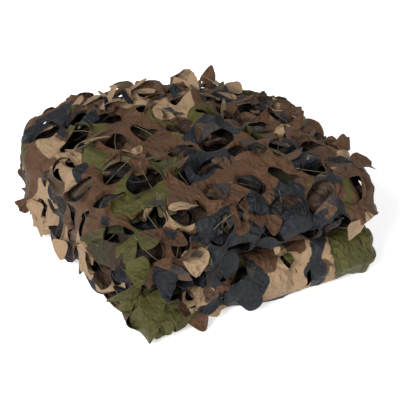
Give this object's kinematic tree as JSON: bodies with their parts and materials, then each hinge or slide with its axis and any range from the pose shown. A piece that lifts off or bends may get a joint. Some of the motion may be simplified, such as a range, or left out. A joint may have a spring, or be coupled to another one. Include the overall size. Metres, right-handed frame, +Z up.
{
  "type": "folded camouflage net",
  "caption": "Leaf-cut camouflage net of thin printed cloth, folded back and forth into a soft square pack that lies flat on its lowest layer",
  "frame": {"origin": "middle of the pack's footprint, on the surface that it rests on", "axes": "+Z up, through the layers; +X along the two big folds of the front, towards the end where the layers are open; -Y out of the front, where the big folds are"},
  "size_m": [0.431, 0.4264, 0.2022],
  "materials": {
    "camouflage_cloth": "printed polyester cloth with a slight sheen, in brown, tan, olive green and blue-black"
  },
  "bodies": {
    "root": {"camouflage_net": "camouflage_cloth"}
  },
  "joints": []
}
